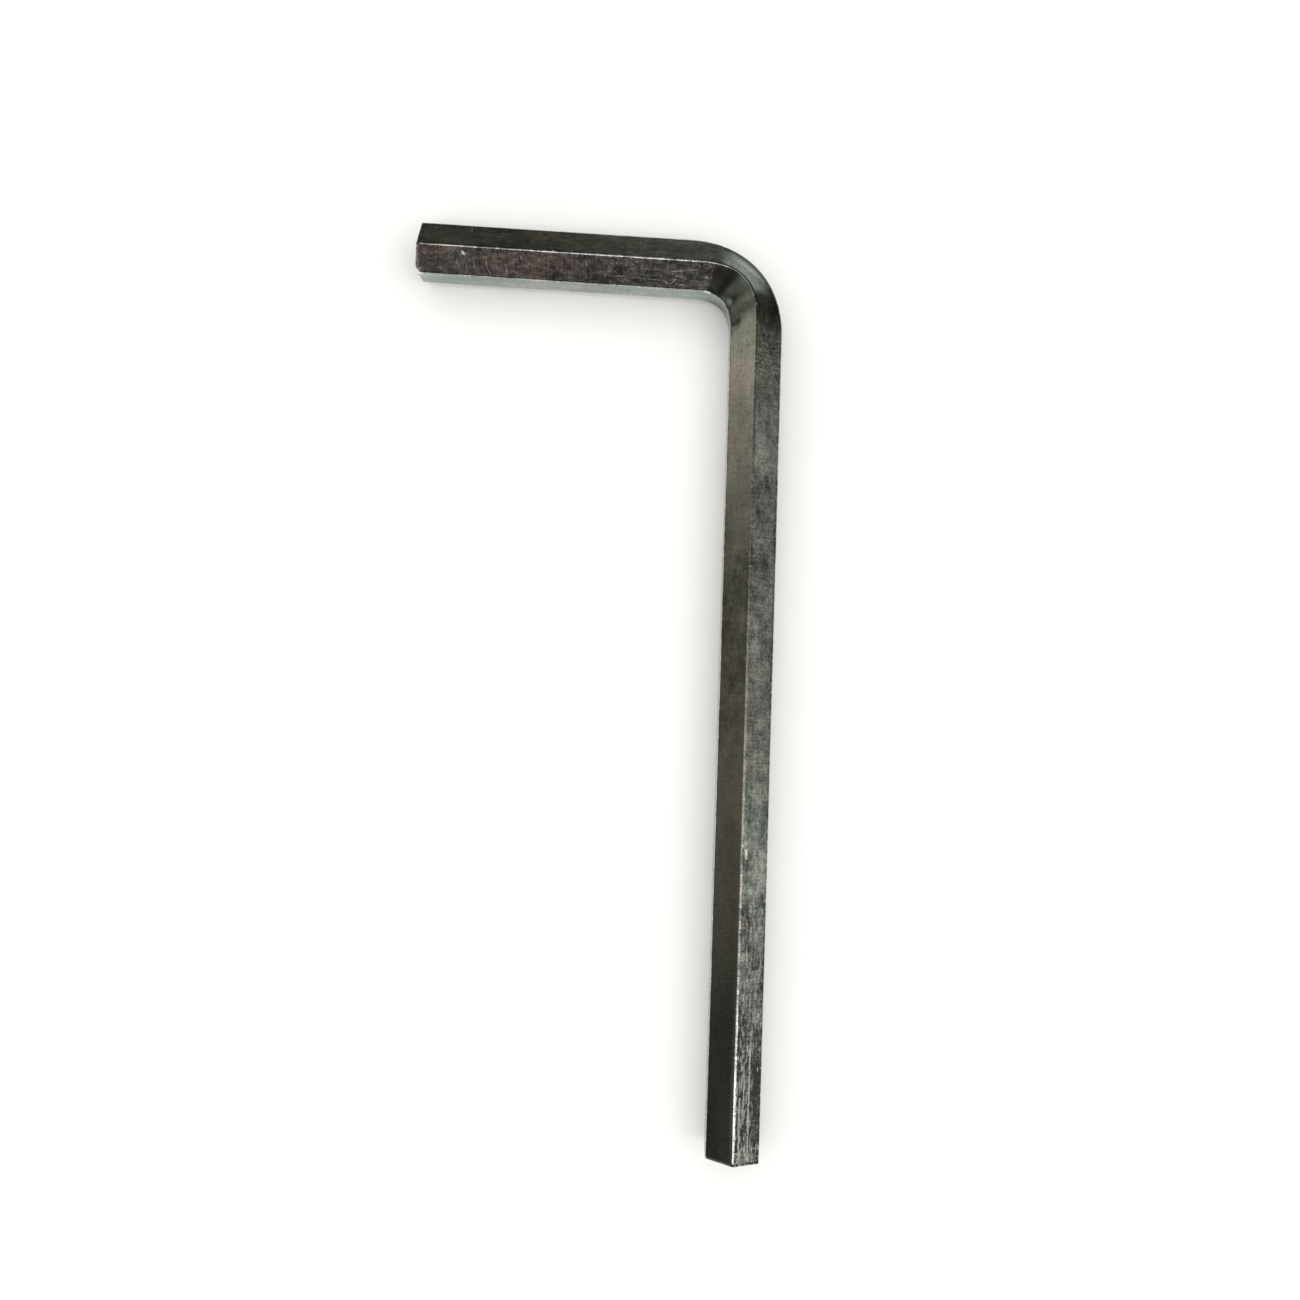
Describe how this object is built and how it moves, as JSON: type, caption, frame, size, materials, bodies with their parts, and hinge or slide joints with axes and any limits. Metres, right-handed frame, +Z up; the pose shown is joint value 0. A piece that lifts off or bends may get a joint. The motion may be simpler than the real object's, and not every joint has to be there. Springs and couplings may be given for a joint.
{
  "type": "hex key",
  "caption": "L-shaped hex key bent from one hexagonal plated steel bar, with a short arm and a long arm, both cut a few degrees out of square at the end.",
  "frame": {"origin": "under the middle of the key's box, on the surface that the key lies on", "axes": "+Z up, at right angles to the bend; -Y along the long arm towards its free end; the short arm leads off towards -X from the +Y end"},
  "size_m": [0.0354, 0.0876, 0.0057],
  "materials": {
    "plated_steel": "bright nickel plating, slightly worn, with fine nicks and drawing lines along the bar"
  },
  "bodies": {
    "root": {"hex_key": "plated_steel"}
  },
  "joints": []
}
